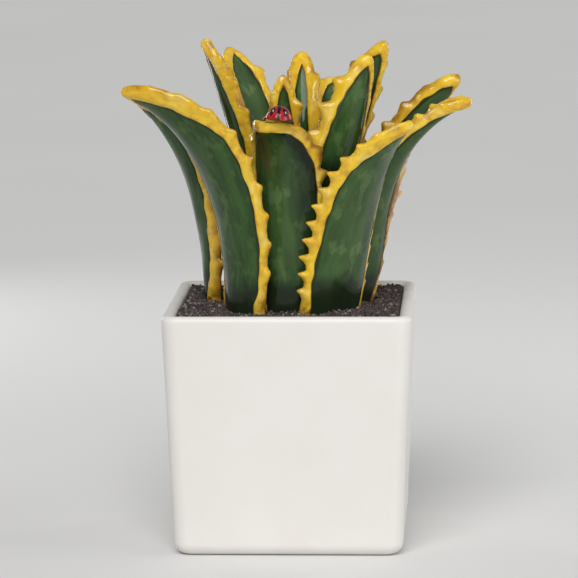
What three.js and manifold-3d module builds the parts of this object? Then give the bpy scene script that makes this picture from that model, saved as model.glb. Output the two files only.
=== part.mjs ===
// Potted agave: a rosette of thick toothed leaves that stands in a square pot of grit.
// Millimetres, +Z up, the front faces -Y. The origin is the middle of the pot's underside.

import * as THREE from "three";
import { mergeVertices } from "three/addons/utils/BufferGeometryUtils.js";
import Module from "manifold-3d";

const wasm = await Module();
wasm.setup();

const GAP = 0.3;
const SOIL_LINE = 98;

const POT = {
  height: 98,
  topWidth: 100,
  footWidth: 92,
  corner: 6,
  wall: 5,
  floor: 6,
  rim: 2.4,
  footRound: 5,
  innerRound: 3,
  cornerSteps: 5,
};

const SOIL = {
  edgeHeight: 96.6,
  innerHeight: 97.6,
  holeRadius: 41.4,
  holeFloor: 85.5,
  grain: 1.1,
  sides: 96,
  topRings: 7,
};

const STEM = { radius: 16.8, top: 95, bevel: 1.8, sides: 28 };

// Values that most leaves share. Lengths are millimetres and turns are degrees.
// Each row adds at and reach, which place the leaf's inner face at the soil line, and heading,
// which is where the leaf leans to: 0 is the front, 90 the right and 180 the back.
// lean, roll, cup and thick each go from the foot to the tip.
// lean is the turn away from upright, and bend says how late along the leaf it comes.
// roll turns the leaf about its own length, and cup is half the arc of its channel.
// foot is the foot's width as a share of the full width, widest is where along the leaf the
// full width is reached, taper is how long it is kept, and blunt rounds the tip.
// band is the width of the yellow rim, tooth the height of its largest tooth and teeth their
// number on each side. phase slides the teeth along the leaf, in teeth.
// point is how steeply the green comes to its point below the tip.
// stations is the number of steps along the blade, and crowd gathers them towards the tip.
const COMMON = {
  bend: 1.6,
  roll: [0, 0],
  foot: 0.8,
  widest: 0.5,
  taper: 2.2,
  cup: [24, 34],
  thick: [4.6, 3.2],
  band: 3.6,
  teeth: 8,
  tooth: 2.7,
  blunt: 2.2,
  phase: 0,
  point: 0.5,
  stations: 12,
  crowd: 1,
};

const OUTER_LEAVES = {
  front: {
    at: 0, reach: 25.2, heading: -32, length: 85.2, lean: [0, 91], bend: 5.1, roll: [33, -3], width: 29,
    foot: 0.73, widest: 0.6, taper: 2.4, cup: [32, 32], teeth: 8, band: 3.5, phase: 0.4,
    thick: [4.2, 3], stations: 28, point: 1.15, crowd: 2.2,
  },
  front_left: {
    at: -38, reach: 30.6, heading: -79, length: 109, lean: [0, 69], bend: 1.5, roll: [25, 19],
    width: 38.6, foot: 0.66, widest: 0.62, taper: 1.5, cup: [30, 44], teeth: 9, tooth: 1.5, band: 3.3,
  },
  left: {
    at: -103, reach: 32.5, heading: -102, length: 90.5, lean: [5, 52], bend: 1.9, roll: [14, 36],
    width: 24.2, foot: 0.52, widest: 0.45, taper: 1.8, cup: [37, 48], teeth: 8, tooth: 2, point: 1.2,
    stations: 14, crowd: 1.5,
  },
  back_left: {
    at: -150, reach: 32.1, heading: -138, length: 72, lean: [4, 62], width: 22, teeth: 6,
  },
  back: {
    at: 168, reach: 28.5, heading: 174, length: 92, lean: [4, 60], width: 25, teeth: 7,
  },
  back_right: {
    at: 133, reach: 35.3, heading: 80, length: 103, lean: [3, 49], bend: 1.05, roll: [25, -50],
    width: 23.6, foot: 0.63, widest: 0.48, taper: 1.5, cup: [26, 52], teeth: 9, tooth: 2.3, band: 3,
  },
  right: {
    at: 89, reach: 26.1, heading: 86, length: 101, lean: [9, 74], bend: 2.1, roll: [-60, 12],
    width: 21.5, foot: 0.65, widest: 0.35, taper: 1.5, cup: [16, 78], teeth: 9, band: 2.7, phase: 0.2,
  },
  front_right: {
    at: 36, reach: 30.2, heading: 64, length: 88, lean: [11, 55], bend: 2.2, roll: [-26, 1], width: 32,
    foot: 0.89, widest: 0.48, cup: [25, 33], teeth: 11, tooth: 3.1,
  },
};

const INNER_LEAVES = {
  inner_left: {
    at: -86, reach: 10.9, heading: -90, length: 110, lean: [0, 20], bend: 0.7, roll: [15, 19],
    width: 22.5, widest: 0.6, taper: 1.4, cup: [26, 32], teeth: 8, tooth: 2.2,
  },
  inner_back_left: {
    at: -152, reach: 14.7, heading: -155, length: 117, lean: [0, 61], bend: 1.2, roll: [65, 13],
    width: 22, widest: 0.65, taper: 1.9, cup: [26, 26], teeth: 7, tooth: 2.2, blunt: 1.8,
  },
  inner_back: {
    at: 165, reach: 13, heading: 180, length: 103.6, lean: [0, 45], bend: 2.8, roll: [3, 5],
    width: 10.6, widest: 0.55, taper: 3.3, cup: [27, 44], teeth: 7, tooth: 2, band: 4,
  },
  inner_back_right: {
    at: 143, reach: 23.9, heading: 178, length: 103, lean: [2, 76], bend: 1.9, roll: [15, 10],
    width: 14, widest: 0.65, taper: 2.9, cup: [25, 40], teeth: 6, tooth: 2.2,
  },
  inner_right: {
    at: 121, reach: 11.4, heading: 70, length: 112, lean: [0, 31], bend: 0.9, roll: [-42, -62],
    width: 17, widest: 0.4, taper: 2.3, cup: [27, 42], teeth: 8, tooth: 2.4, band: 2.9,
  },
  inner_front_right: {
    at: 28, reach: 15.6, heading: 95, length: 105, lean: [8, 18], bend: 0.8, roll: [-25, -62],
    width: 23, widest: 0.55, taper: 1.7, cup: [22, 42], teeth: 8, tooth: 3,
  },
  heart: {
    at: -49, reach: 3.4, heading: 180, length: 92, lean: [-1, 1], bend: 1.2, roll: [0, 8],
    width: 11.6, widest: 0.53, taper: 2.6, cup: [25, 32], teeth: 7, tooth: 2.2, band: 2.8,
  },
};

// How every leaf is cut up. raise is how far the rim stands proud of the blade and seam the gap
// between the two. The tooth steps and rises give one tooth's slow rise and quick drop.
// The green ends at apexAt at the latest, where it is apexHalf wide each side of the middle.
const LEAF = {
  spineSteps: 400,
  edgeThickness: 0.55,
  raise: 0.5,
  seam: 0.45,
  bladeHalfColumns: 2,
  toothSteps: [0, 0.46, 0.78],
  toothRise: [0, 0.42, 1],
  toothFade: 0.88,
  endStep: 0.022,
  apexAt: 0.95,
  apexHalf: 1,
  apexRun: 3.2,
  tipStations: [0, 0.4, 0.75, 1],
};

// The ladybird sits on the bend of the front leaf, its head towards the heart of the rosette.
// plate is the thickness of its flat underside, keel the black line between its wing covers and
// shoulder where those covers end. spots are the places of the spots on the right cover.
// station is its place along the leaf, sideways across it and lift above the leaf's inner face.
// level goes from 0, flat on the leaf, to 1, upright.
const LADYBIRD = {
  length: 12,
  width: 10.6,
  height: 6.2,
  plate: 0.7,
  keel: 0.9,
  shoulder: 2.8,
  head: [2.6, 2.1, 2],
  headAt: 5.4,
  spot: 0.95,
  spots: [[2.6, -3.7], [3, 0.4]],
  leaf: "front",
  station: 0.95,
  sideways: 6.2,
  lift: -0.15,
  level: 0.55,
  sides: 20,
  rows: 12,
};

const MATERIALS = {
  pot: { color: 0xe6e1da, roughness: 0.28, metalness: 0 },
  soil: { color: 0x3a322f, roughness: 0.95, metalness: 0 },
  stem: { color: 0x6f7a45, roughness: 0.7, metalness: 0 },
  blade: { color: 0x24401f, roughness: 0.3, metalness: 0 },
  margin: { color: 0xe2b62c, roughness: 0.35, metalness: 0 },
  red: { color: 0xc42a26, roughness: 0.25, metalness: 0 },
  black: { color: 0x14100f, roughness: 0.3, metalness: 0 },
};

const radians = THREE.MathUtils.degToRad;
const mix = THREE.MathUtils.lerp;
const clamp = THREE.MathUtils.clamp;

// Bodies made of points and triangles

function namedMesh(name, material, positions, indices) {
  const geometry = new THREE.BufferGeometry();
  geometry.setAttribute("position", new THREE.Float32BufferAttribute(positions, 3));
  geometry.setIndex(indices);
  geometry.computeVertexNormals();
  const mesh = new THREE.Mesh(geometry, new THREE.MeshStandardMaterial(MATERIALS[material]));
  mesh.name = name;
  return mesh;
}

function solid(name, material, points, triangles) {
  const positions = points.flatMap((point) => [point.x, point.y, point.z]);
  return namedMesh(name, material, positions, triangles.flat());
}

// Triangles of a band between two rows of as many points, closed round if asked.
function band(rowA, rowB, closed = true) {
  const triangles = [];
  const last = closed ? rowA.length : rowA.length - 1;
  for (let i = 0; i < last; i++) {
    const j = (i + 1) % rowA.length;
    triangles.push([rowA[i], rowA[j], rowB[j]], [rowA[i], rowB[j], rowB[i]]);
  }
  return triangles;
}

function fan(row, flipped = false) {
  const triangles = [];
  for (let i = 1; i < row.length - 1; i++) {
    triangles.push(flipped ? [row[0], row[i + 1], row[i]] : [row[0], row[i], row[i + 1]]);
  }
  return triangles;
}

// A closed body through a stack of rings, from its first cap to its last.
function loft(name, material, rings) {
  const points = rings.flat();
  const size = rings[0].length;
  const rows = rings.map((ring, k) => ring.map((_, i) => k * size + i));
  const triangles = fan(rows[0], true);
  for (let k = 1; k < rows.length; k++) {
    triangles.push(...band(rows[k - 1], rows[k]));
  }
  triangles.push(...fan(rows[rows.length - 1]));
  return solid(name, material, points, triangles);
}

// Pot

function potHalfWidth(z) {
  return mix(POT.footWidth, POT.topWidth, z / POT.height) / 2;
}

function squareRing(half, radius, z) {
  const ring = [];
  for (let corner = 0; corner < 4; corner++) {
    const middle = (corner + 0.5) * (Math.PI / 2);
    const x = Math.sign(Math.cos(middle)) * (half - radius);
    const y = Math.sign(Math.sin(middle)) * (half - radius);
    for (let i = 0; i <= POT.cornerSteps; i++) {
      const angle = (corner + i / POT.cornerSteps) * (Math.PI / 2);
      ring.push(new THREE.Vector3(x + radius * Math.cos(angle), y + radius * Math.sin(angle), z));
    }
  }
  return ring;
}

function buildPot() {
  const rings = [];
  const ring = (z, inset) => {
    const radius = Math.max(POT.corner - inset * 0.6, 1.2);
    rings.push(squareRing(potHalfWidth(z) - inset, radius, z));
  };
  for (const turn of [0, 30, 60, 90]) {
    const a = radians(turn);
    ring(POT.footRound * (1 - Math.cos(a)), POT.footRound * (1 - Math.sin(a)));
  }
  for (const turn of [0, 30, 60, 90, 120, 150, 180]) {
    const a = radians(turn);
    ring(POT.height - POT.rim * (1 - Math.sin(a)), (POT.wall / 2) * (1 - Math.cos(a)));
  }
  for (const turn of [0, 45, 90]) {
    const a = radians(turn);
    const z = POT.floor + POT.innerRound * (1 - Math.sin(a));
    ring(z, POT.wall + POT.innerRound * (1 - Math.cos(a)));
  }
  return loft("pot", "pot", rings);
}

// Soil

// How far the pot's cavity reaches from its axis in one direction.
function cavityReach(angle, half, radius) {
  const c = Math.abs(Math.cos(angle));
  const s = Math.abs(Math.sin(angle));
  const flat = half / Math.max(c, s);
  const inner = half - radius;
  if (flat * Math.min(c, s) <= inner) return flat;
  const along = inner * (c + s);
  return along + Math.sqrt(along * along - 2 * inner * inner + radius * radius);
}

// The same grain height for the same pair of numbers, between -1 and 1.
function grain(i, k) {
  const value = Math.sin(i * 12.9898 + k * 78.233) * 43758.5453;
  return 2 * (value - Math.floor(value)) - 1;
}

function buildSoil() {
  const angles = Array.from({ length: SOIL.sides }, (_, i) => (i / SOIL.sides) * 2 * Math.PI);
  const inset = POT.wall + GAP;
  const corner = Math.max(POT.corner - inset * 0.6, 1.2);
  const square = (z, extra) => angles.map((angle) => {
    const reach = cavityReach(angle, potHalfWidth(z) - inset - extra, corner);
    return new THREE.Vector3(reach * Math.cos(angle), reach * Math.sin(angle), z);
  });
  const circle = (radius, z) => angles.map(
    (angle) => new THREE.Vector3(radius * Math.cos(angle), radius * Math.sin(angle), z));
  const low = POT.floor + GAP;
  const rings = [square(low, POT.innerRound), square(low + POT.innerRound, 0)];
  const outer = square(SOIL.edgeHeight, 0);
  const inner = circle(SOIL.holeRadius, SOIL.innerHeight);
  for (let k = 0; k <= SOIL.topRings; k++) {
    const share = k / SOIL.topRings;
    rings.push(outer.map((point, i) => {
      const placed = point.clone().lerp(inner[i], share);
      const ends = k === 0 || k === SOIL.topRings;
      placed.z += ends ? 0 : SOIL.grain * grain(i, k);
      return placed;
    }));
  }
  rings.push(circle(SOIL.holeRadius, SOIL.holeFloor));
  return loft("soil", "soil", rings);
}

// Stem

function buildStem() {
  const low = SOIL.holeFloor + GAP;
  const profile = [
    [STEM.radius - STEM.bevel, low],
    [STEM.radius, low + STEM.bevel],
    [STEM.radius, STEM.top - STEM.bevel],
    [STEM.radius - STEM.bevel, STEM.top],
  ];
  const rings = profile.map(([radius, z]) => Array.from({ length: STEM.sides }, (_, i) => {
    const angle = (i / STEM.sides) * 2 * Math.PI;
    return new THREE.Vector3(radius * Math.cos(angle), radius * Math.sin(angle), z);
  }));
  return loft("stem", "stem", rings);
}

// Leaves

// The way the leaf runs at s, which goes from 0 at the soil line to 1 at the tip.
function leafDirection(leaf, s) {
  const lean = radians(mix(leaf.lean[0], leaf.lean[1], s ** leaf.bend));
  const heading = radians(leaf.heading);
  return new THREE.Vector3(
    Math.sin(lean) * Math.sin(heading), -Math.sin(lean) * Math.cos(heading), Math.cos(lean));
}

// The middle of the leaf's inner face from foot to tip, added up in small steps.
function leafSpine(leaf) {
  const at = radians(leaf.at);
  const foot = new THREE.Vector3(leaf.reach * Math.sin(at), -leaf.reach * Math.cos(at), SOIL_LINE);
  const places = [foot];
  for (let i = 1; i <= LEAF.spineSteps; i++) {
    const before = leafDirection(leaf, (i - 1) / LEAF.spineSteps);
    const after = leafDirection(leaf, i / LEAF.spineSteps);
    const step = before.add(after).multiplyScalar(leaf.length / LEAF.spineSteps / 2);
    places.push(places[i - 1].clone().add(step));
  }
  return places;
}

// Half the leaf's width without its teeth: it swells to the widest place, then narrows to the tip.
function halfWidth(leaf, s) {
  const swell = Math.sin((clamp(s / leaf.widest, 0, 1) * Math.PI) / 2);
  const narrow = 1 - clamp((s - leaf.widest) / (1 - leaf.widest), 0, 1) ** leaf.taper;
  const body = (leaf.width / 2) * (leaf.foot + (1 - leaf.foot) * swell) * narrow;
  return body + leaf.blunt * clamp(s, 0, 1) * Math.sqrt(1 - clamp(s, 0, 1) ** 30);
}

// Half the width of the green blade: what the yellow band leaves, drawn to a point near the tip.
function greenHalf(leaf, s) {
  const rim = leaf.band * mix(0.72, 1, clamp(s / 0.3, 0, 1));
  const pointed = leaf.point * (LEAF.apexAt - s) * leaf.length;
  return Math.min(halfWidth(leaf, s) - rim, pointed);
}

// The leaf's section at s: where it is, how it is turned and how it curves.
function leafSection(leaf, places, s) {
  const up = clamp(s, 0, 1);
  const step = up * LEAF.spineSteps;
  const low = Math.min(Math.floor(step), LEAF.spineSteps - 1);
  const along = leafDirection(leaf, up);
  const centre = places[low].clone().lerp(places[low + 1], step - low);
  centre.addScaledVector(along, Math.min(s, 0) * leaf.length);
  const heading = radians(leaf.heading);
  const level = new THREE.Vector3(Math.cos(heading), Math.sin(heading), 0);
  const roll = radians(mix(leaf.roll[0], leaf.roll[1], up));
  const across = level.applyAxisAngle(along, roll);
  const inward = along.clone().cross(across);
  const half = halfWidth(leaf, up);
  const radius = Math.max(half, 3) / radians(mix(leaf.cup[0], leaf.cup[1], up));
  const thick = mix(leaf.thick[0], leaf.thick[1], up);
  return { centre, across, inward, half, radius, thick, green: greenHalf(leaf, up) };
}

// A point of the section, w across from its middle and depth out from its inner face.
function sectionPoint(section, w, depth) {
  const turn = w / section.radius;
  const side = (section.radius + depth) * Math.sin(turn);
  const lift = section.radius * (1 - Math.cos(turn)) - depth * Math.cos(turn);
  return section.centre.clone().addScaledVector(section.across, side).addScaledVector(section.inward, lift);
}

function thickness(section, w) {
  const share = clamp(Math.abs(w) / section.half, 0, 1);
  return section.thick * (1 - (1 - LEAF.edgeThickness) * share * share);
}

// How far below the soil line the leaf starts, as a share of its length, to stand at a level.
function footStart(leaf, places, level) {
  const section = leafSection(leaf, places, 0);
  const heights = [-1, 0, 1].flatMap((side) => [
    sectionPoint(section, side * section.half, 0).z,
    sectionPoint(section, side * section.half, section.thick + LEAF.raise).z,
  ]);
  const drop = (Math.min(...heights) - level - GAP) / Math.cos(radians(leaf.lean[0]));
  return -drop / leaf.length;
}

// Where the green blade comes to its point, and where the yellow arms meet above it.
function leafApex(leaf) {
  let end = LEAF.apexAt;
  while (greenHalf(leaf, end) < LEAF.apexHalf) end -= 0.002;
  return { end, meet: Math.min(end + LEAF.apexRun / leaf.length, LEAF.apexAt) };
}

function buildBlade(name, leaf, level) {
  const places = leafSpine(leaf);
  const apex = leafApex(leaf);
  const low = footStart(leaf, places, level);
  const columns = 2 * LEAF.bladeHalfColumns;
  const points = [];
  const triangles = [];
  const keep = (point) => points.push(point) - 1;
  const rows = [];
  for (let i = 0; i <= leaf.stations; i++) {
    const share = 1 - (1 - i / leaf.stations) ** leaf.crowd;
    const section = leafSection(leaf, places, mix(low, apex.end, share));
    const edge = section.green - LEAF.seam;
    const widths = Array.from({ length: columns + 1 }, (_, k) => edge * (1 - (2 * k) / columns));
    const inner = widths.map((w) => keep(sectionPoint(section, w, 0)));
    const outer = widths.map((w) => keep(sectionPoint(section, w, thickness(section, w))));
    rows.push([...inner, ...outer.reverse()]);
  }
  for (let k = 1; k < rows.length; k++) {
    triangles.push(...band(rows[k - 1], rows[k]));
  }
  const run = 1 - LEAF.seam / LEAF.apexHalf;
  const section = leafSection(leaf, places, mix(apex.end, apex.meet, run));
  const top = keep(sectionPoint(section, 0, 0));
  const under = keep(sectionPoint(section, 0, section.thick));
  const first = rows[0];
  const last = rows[rows.length - 1];
  const size = first.length;
  for (let k = 0; k < columns; k++) {
    const inner = [first[k + 1], first[k]];
    const outer = [first[size - 2 - k], first[size - 1 - k]];
    triangles.push(...band(inner, outer, false));
    triangles.push([last[k], last[k + 1], top], [last[size - 2 - k], last[size - 1 - k], under]);
  }
  triangles.push([last[columns], last[columns + 1], under], [last[columns], under, top]);
  triangles.push([last[size - 1], last[0], top], [last[size - 1], top, under]);
  return solid(`${name}_blade`, "blade", points, triangles);
}

// Stations of one arm of the margin as pairs of s and tooth height: three to a tooth.
function toothStations(leaf, side, low, end) {
  const stations = [[low, 0], [0, 0]];
  const spacing = LEAF.toothFade / leaf.teeth;
  const start = spacing * (0.15 + (side > 0 ? 0.5 : 0) + leaf.phase);
  for (let k = 0; k < leaf.teeth; k++) {
    LEAF.toothSteps.forEach((step, i) => {
      const s = start + (k + step) * spacing;
      const size = clamp((0.96 - s) / 0.3, 0, 1) * clamp(0.45 + s * 2.4, 0, 1);
      if (s < end - LEAF.endStep) stations.push([s, leaf.tooth * size * LEAF.toothRise[i]]);
    });
  }
  const reached = stations[stations.length - 1][0];
  const rest = Math.max(Math.round((end - reached) / LEAF.endStep), 1);
  for (let k = 1; k <= rest; k++) stations.push([mix(reached, end, k / rest), 0]);
  return stations;
}

// One arm's ring: its wall beside the blade, and its outer edge with the tooth.
function armRing(section, side, wall, tooth) {
  const edge = section.half + tooth;
  const atWall = thickness(section, wall);
  const atEdge = section.thick * LEAF.edgeThickness;
  const wallTop = sectionPoint(section, side * wall, -LEAF.raise);
  const wallUnder = sectionPoint(section, side * wall, atWall + LEAF.raise);
  const edgeTop = sectionPoint(section, side * edge, atEdge * 0.1);
  const edgeUnder = sectionPoint(section, side * edge, atEdge * 0.9);
  return side > 0
    ? [edgeTop, wallTop, wallUnder, edgeUnder]
    : [wallTop, edgeTop, edgeUnder, wallUnder];
}

function buildMargin(name, leaf, level) {
  const places = leafSpine(leaf);
  const apex = leafApex(leaf);
  const low = footStart(leaf, places, level);
  const points = [];
  const triangles = [];
  const keep = (ring) => ring.map((point) => points.push(point) - 1);

  const tipRows = LEAF.tipStations.map((share) => {
    const section = leafSection(leaf, places, mix(apex.meet, 0.996, share));
    const [, topLeft, underLeft] = armRing(section, -1, 0, 0);
    const [topRight, topMiddle, underMiddle, underRight] = armRing(section, 1, 0, 0);
    return keep([topRight, topMiddle, topLeft, underLeft, underMiddle, underRight]);
  });
  for (let k = 1; k < tipRows.length; k++) {
    triangles.push(...band(tipRows[k - 1], tipRows[k]));
  }
  triangles.push(...fan(tipRows[tipRows.length - 1]));

  const [topRight, topMiddle, topLeft, underLeft, underMiddle, underRight] = tipRows[0];
  const meeting = {
    [-1]: [topMiddle, topLeft, underLeft, underMiddle],
    1: [topRight, topMiddle, underMiddle, underRight],
  };
  for (const side of [-1, 1]) {
    const rows = toothStations(leaf, side, low, apex.end).map(([s, tooth]) => {
      const section = leafSection(leaf, places, s);
      return keep(armRing(section, side, section.green, tooth));
    });
    triangles.push(...fan(rows[0], true));
    rows.push(meeting[side]);
    for (let k = 1; k < rows.length; k++) {
      triangles.push(...band(rows[k - 1], rows[k]));
    }
  }
  return solid(`${name}_margin`, "margin", points, triangles);
}

function addLeaves(group, leaves, level) {
  for (const [name, own] of Object.entries(leaves)) {
    const leaf = { ...COMMON, ...own };
    group.add(buildBlade(name, leaf, level), buildMargin(name, leaf, level));
  }
}

// Ladybird

function asManifold(geometry) {
  geometry.deleteAttribute("normal");
  geometry.deleteAttribute("uv");
  const merged = mergeVertices(geometry, 1e-4);
  return new wasm.Manifold(new wasm.Mesh({
    numProp: 3,
    vertProperties: new Float32Array(merged.attributes.position.array),
    triVerts: new Uint32Array(merged.index.array),
  }));
}

function asMesh(name, material, manifold) {
  const { vertProperties, triVerts } = manifold.getMesh();
  return namedMesh(name, material, vertProperties, Array.from(triVerts));
}

function box(low, high) {
  const size = high.map((value, i) => value - low[i]);
  const geometry = new THREE.BoxGeometry(...size);
  geometry.translate(...low.map((value, i) => value + size[i] / 2));
  return asManifold(geometry);
}

function ellipsoid(radii, centreY) {
  const geometry = new THREE.SphereGeometry(1, LADYBIRD.sides, LADYBIRD.rows);
  geometry.scale(...radii);
  geometry.translate(0, centreY, 0);
  return asManifold(geometry).intersect(box([-9, -9, 0], [9, 9, 9]));
}

function upright(radius, x, y) {
  const geometry = new THREE.CylinderGeometry(radius, radius, 18, 10);
  geometry.rotateX(Math.PI / 2);
  geometry.translate(x, y, 0);
  return asManifold(geometry);
}

// Red wing covers over one black body, whose keel and spots come up flush between and through them.
function buildLadybird() {
  const { length, width, height, plate, keel, shoulder, head, headAt, spot, spots } = LADYBIRD;
  const dome = ellipsoid([width / 2, length / 2, height], 0);
  const places = spots.flatMap(([x, y]) => [[x, y], [-x, y]]);
  let body = dome.intersect(box([-9, -9, 0], [9, 9, plate]));
  body = body.add(dome.intersect(box([-keel / 2, -9, 0], [keel / 2, 9, 9])));
  body = body.add(dome.intersect(box([-9, shoulder + GAP, 0], [9, 9, 9])));
  body = body.add(ellipsoid(head, headAt));
  let wings = dome.intersect(box([-9, -9, plate + GAP], [9, shoulder, 9]));
  for (const [x, y] of places) {
    body = body.add(dome.intersect(upright(spot, x, y)));
    wings = wings.subtract(upright(spot + GAP, x, y));
  }
  const slot = keel / 2 + GAP;
  const left = wings.intersect(box([-9, -9, 0], [-slot, 9, 9]));
  const right = wings.intersect(box([slot, -9, 0], [9, 9, 9]));
  return [
    asMesh("ladybird_body", "black", body),
    asMesh("ladybird_left_wing", "red", left),
    asMesh("ladybird_right_wing", "red", right),
  ];
}

function placeOnLeaf(meshes) {
  const leaf = { ...COMMON, ...OUTER_LEAVES[LADYBIRD.leaf] };
  const section = leafSection(leaf, leafSpine(leaf), LADYBIRD.station);
  const up = section.inward.clone().lerp(new THREE.Vector3(0, 0, 1), LADYBIRD.level).normalize();
  const side = new THREE.Vector3(0, 1, 0).cross(up).normalize();
  const forward = up.clone().cross(side);
  const perch = new THREE.Group();
  perch.quaternion.setFromRotationMatrix(new THREE.Matrix4().makeBasis(side, forward, up));
  perch.position.copy(sectionPoint(section, LADYBIRD.sideways, -LADYBIRD.lift));
  perch.add(...meshes);
  return perch;
}

const agave = new THREE.Group();
agave.add(buildPot(), buildSoil(), buildStem());
addLeaves(agave, OUTER_LEAVES, SOIL.holeFloor);
addLeaves(agave, INNER_LEAVES, STEM.top);
agave.add(placeOnLeaf(buildLadybird()));

export default agave;
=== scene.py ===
"""Looks of the potted agave: glazed leaves, grit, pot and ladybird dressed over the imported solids.

Shapes are worked out in millimetres, +Z up, the front towards -Y, and written to meshes in metres.
"""
import math

import bpy
import numpy as np
from mathutils import Matrix, Vector


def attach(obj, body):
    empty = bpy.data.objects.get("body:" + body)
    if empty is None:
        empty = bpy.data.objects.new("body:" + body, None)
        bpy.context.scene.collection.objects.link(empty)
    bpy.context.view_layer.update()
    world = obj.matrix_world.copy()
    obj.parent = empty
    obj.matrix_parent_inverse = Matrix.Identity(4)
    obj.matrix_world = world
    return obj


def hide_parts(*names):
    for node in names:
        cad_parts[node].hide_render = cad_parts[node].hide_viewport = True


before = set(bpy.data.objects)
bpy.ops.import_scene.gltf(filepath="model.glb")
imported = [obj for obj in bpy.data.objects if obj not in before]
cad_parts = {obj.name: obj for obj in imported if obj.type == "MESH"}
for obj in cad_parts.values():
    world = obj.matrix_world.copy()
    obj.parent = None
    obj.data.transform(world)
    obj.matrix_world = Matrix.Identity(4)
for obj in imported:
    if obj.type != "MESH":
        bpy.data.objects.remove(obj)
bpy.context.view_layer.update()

MM = 0.001

# Heights: where the length of every leaf is counted from, and where the outer and the inner leaves start.
SOIL_LINE = 98.0
OUTER_FOOT = 86.0
INNER_FOOT = 95.3

# Where the photograph was taken from: turns in degrees.
CAMERA = dict(yaw=3.2, pitch=8.8, roll=0.5, distance=1500.0, target=(-1.2, 0.0, 101.8), lens=227.9)

POT = dict(height=98.0, top=100.0, foot=92.0, corner=6.0, wall=5.0, floor=6.0, rim=2.4, foot_round=5.0,
           inner_round=3.0)

# The grit's height at the wall and inside it, the half width that it climbs over, its gap to the pot, the
# height of its lumps, and the number of grains, of which none lies within bare of the middle.
SOIL = dict(edge=96.6, inner=97.6, half=44, gap=0.3, grain=0.82, grains=6000, bare=14)

# Each row places and bends one leaf as the solids do: at and reach place its foot, heading is the way
# it leans (0 front, 90 right), and lean, roll, cup and thick go from the foot to the tip.
COMMON = dict(bend=1.6, roll=[0, 0], foot=0.8, widest=0.5, taper=2.2, cup=[24, 34], thick=[4.6, 3.2], band=3.6,
              teeth=8, tooth=2.7, blunt=2.2, phase=0, point=0.5)

# leaves begin
OUTER_LEAVES = {
    "front": dict(at=0, reach=25.2, heading=-32, length=85.2, lean=[0, 91], bend=5.1, roll=[33, -3], width=29,
        foot=0.73, widest=0.6, taper=2.4, cup=[32, 32], teeth=8, band=3.5, phase=0.4, thick=[4.2, 3],
        point=1.15),
    "front_left": dict(at=-38, reach=30.6, heading=-79, length=109, lean=[0, 69], bend=1.5, roll=[25, 19],
        width=38.6, foot=0.66, widest=0.62, taper=1.5, cup=[30, 44], teeth=9, tooth=1.5, band=3.3),
    "left": dict(at=-103, reach=32.5, heading=-102, length=90.5, lean=[5, 52], bend=1.9, roll=[14, 36],
        width=24.2, foot=0.52, widest=0.45, taper=1.8, cup=[37, 48], teeth=8, tooth=2, point=1.2),
    "back_left": dict(at=-150, reach=32.1, heading=-138, length=72, lean=[4, 62], width=22, teeth=6),
    "back": dict(at=168, reach=28.5, heading=174, length=92, lean=[4, 60], width=25, teeth=7),
    "back_right": dict(at=133, reach=35.3, heading=80, length=103, lean=[3, 49], bend=1.05, roll=[25, -50],
        width=23.6, foot=0.63, widest=0.48, taper=1.5, cup=[26, 52], teeth=9, tooth=2.3, band=3),
    "right": dict(at=89, reach=26.1, heading=86, length=101, lean=[9, 74], bend=2.1, roll=[-60, 12], width=21.5,
        foot=0.65, widest=0.35, taper=1.5, cup=[16, 78], teeth=9, band=2.7, phase=0.2),
    "front_right": dict(at=36, reach=30.2, heading=64, length=88, lean=[11, 55], bend=2.2, roll=[-26, 1],
        width=32, foot=0.89, widest=0.48, cup=[25, 33], teeth=11, tooth=3.1),
}

INNER_LEAVES = {
    "inner_left": dict(at=-86, reach=10.9, heading=-90, length=110, lean=[0, 20], bend=0.7, roll=[15, 19],
        width=22.5, widest=0.6, taper=1.4, cup=[26, 32], teeth=8, tooth=2.2),
    "inner_back_left": dict(at=-152, reach=14.7, heading=-155, length=117, lean=[0, 61], bend=1.2,
        roll=[65, 13], width=22, widest=0.65, taper=1.9, cup=[26, 26], teeth=7, tooth=2.2, blunt=1.8),
    "inner_back": dict(at=165, reach=13, heading=180, length=103.6, lean=[0, 45], bend=2.8, roll=[3, 5],
        width=10.6, widest=0.55, taper=3.3, cup=[27, 44], teeth=7, tooth=2, band=4),
    "inner_back_right": dict(at=143, reach=23.9, heading=178, length=103, lean=[2, 76], bend=1.9, roll=[15, 10],
        width=14, widest=0.65, taper=2.9, cup=[25, 40], teeth=6, tooth=2.2),
    "inner_right": dict(at=121, reach=11.4, heading=70, length=112, lean=[0, 31], bend=0.9, roll=[-42, -62],
        width=17, widest=0.4, taper=2.3, cup=[27, 42], teeth=8, tooth=2.4, band=2.9),
    "inner_front_right": dict(at=28, reach=15.6, heading=95, length=105, lean=[8, 18], bend=0.8,
        roll=[-25, -62], width=23, widest=0.55, taper=1.7, cup=[22, 42], teeth=8, tooth=3),
    "heart": dict(at=-49, reach=3.4, heading=180, length=92, lean=[-1, 1], bend=1.2, roll=[0, 8], width=11.6,
        widest=0.53, taper=2.6, cup=[25, 32], teeth=7, tooth=2.2, band=2.8),
}
# leaves end

LEAF = dict(edge_thickness=0.55, swell=0.62, sunk=0.3, tooth_fade=0.88, apex_at=0.95, apex_half=1.0,
            apex_run=3.2, least_half=3.0)

# Lumps of a surface: rows of height, size across, size along and what is added to the seed.
GREEN_LUMPS = ((0.16, 11, 26, 0), (0.06, 3.2, 60, 7))
RIM_LUMPS = ((0.3, 5, 9, 9), (0.2, 2.2, 3.4, 8))
GRIT_LUMPS = ((0.55, 16, 16, 0), (0.3, 6, 6, 1), (0.22, 2.4, 2.4, 2))

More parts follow.
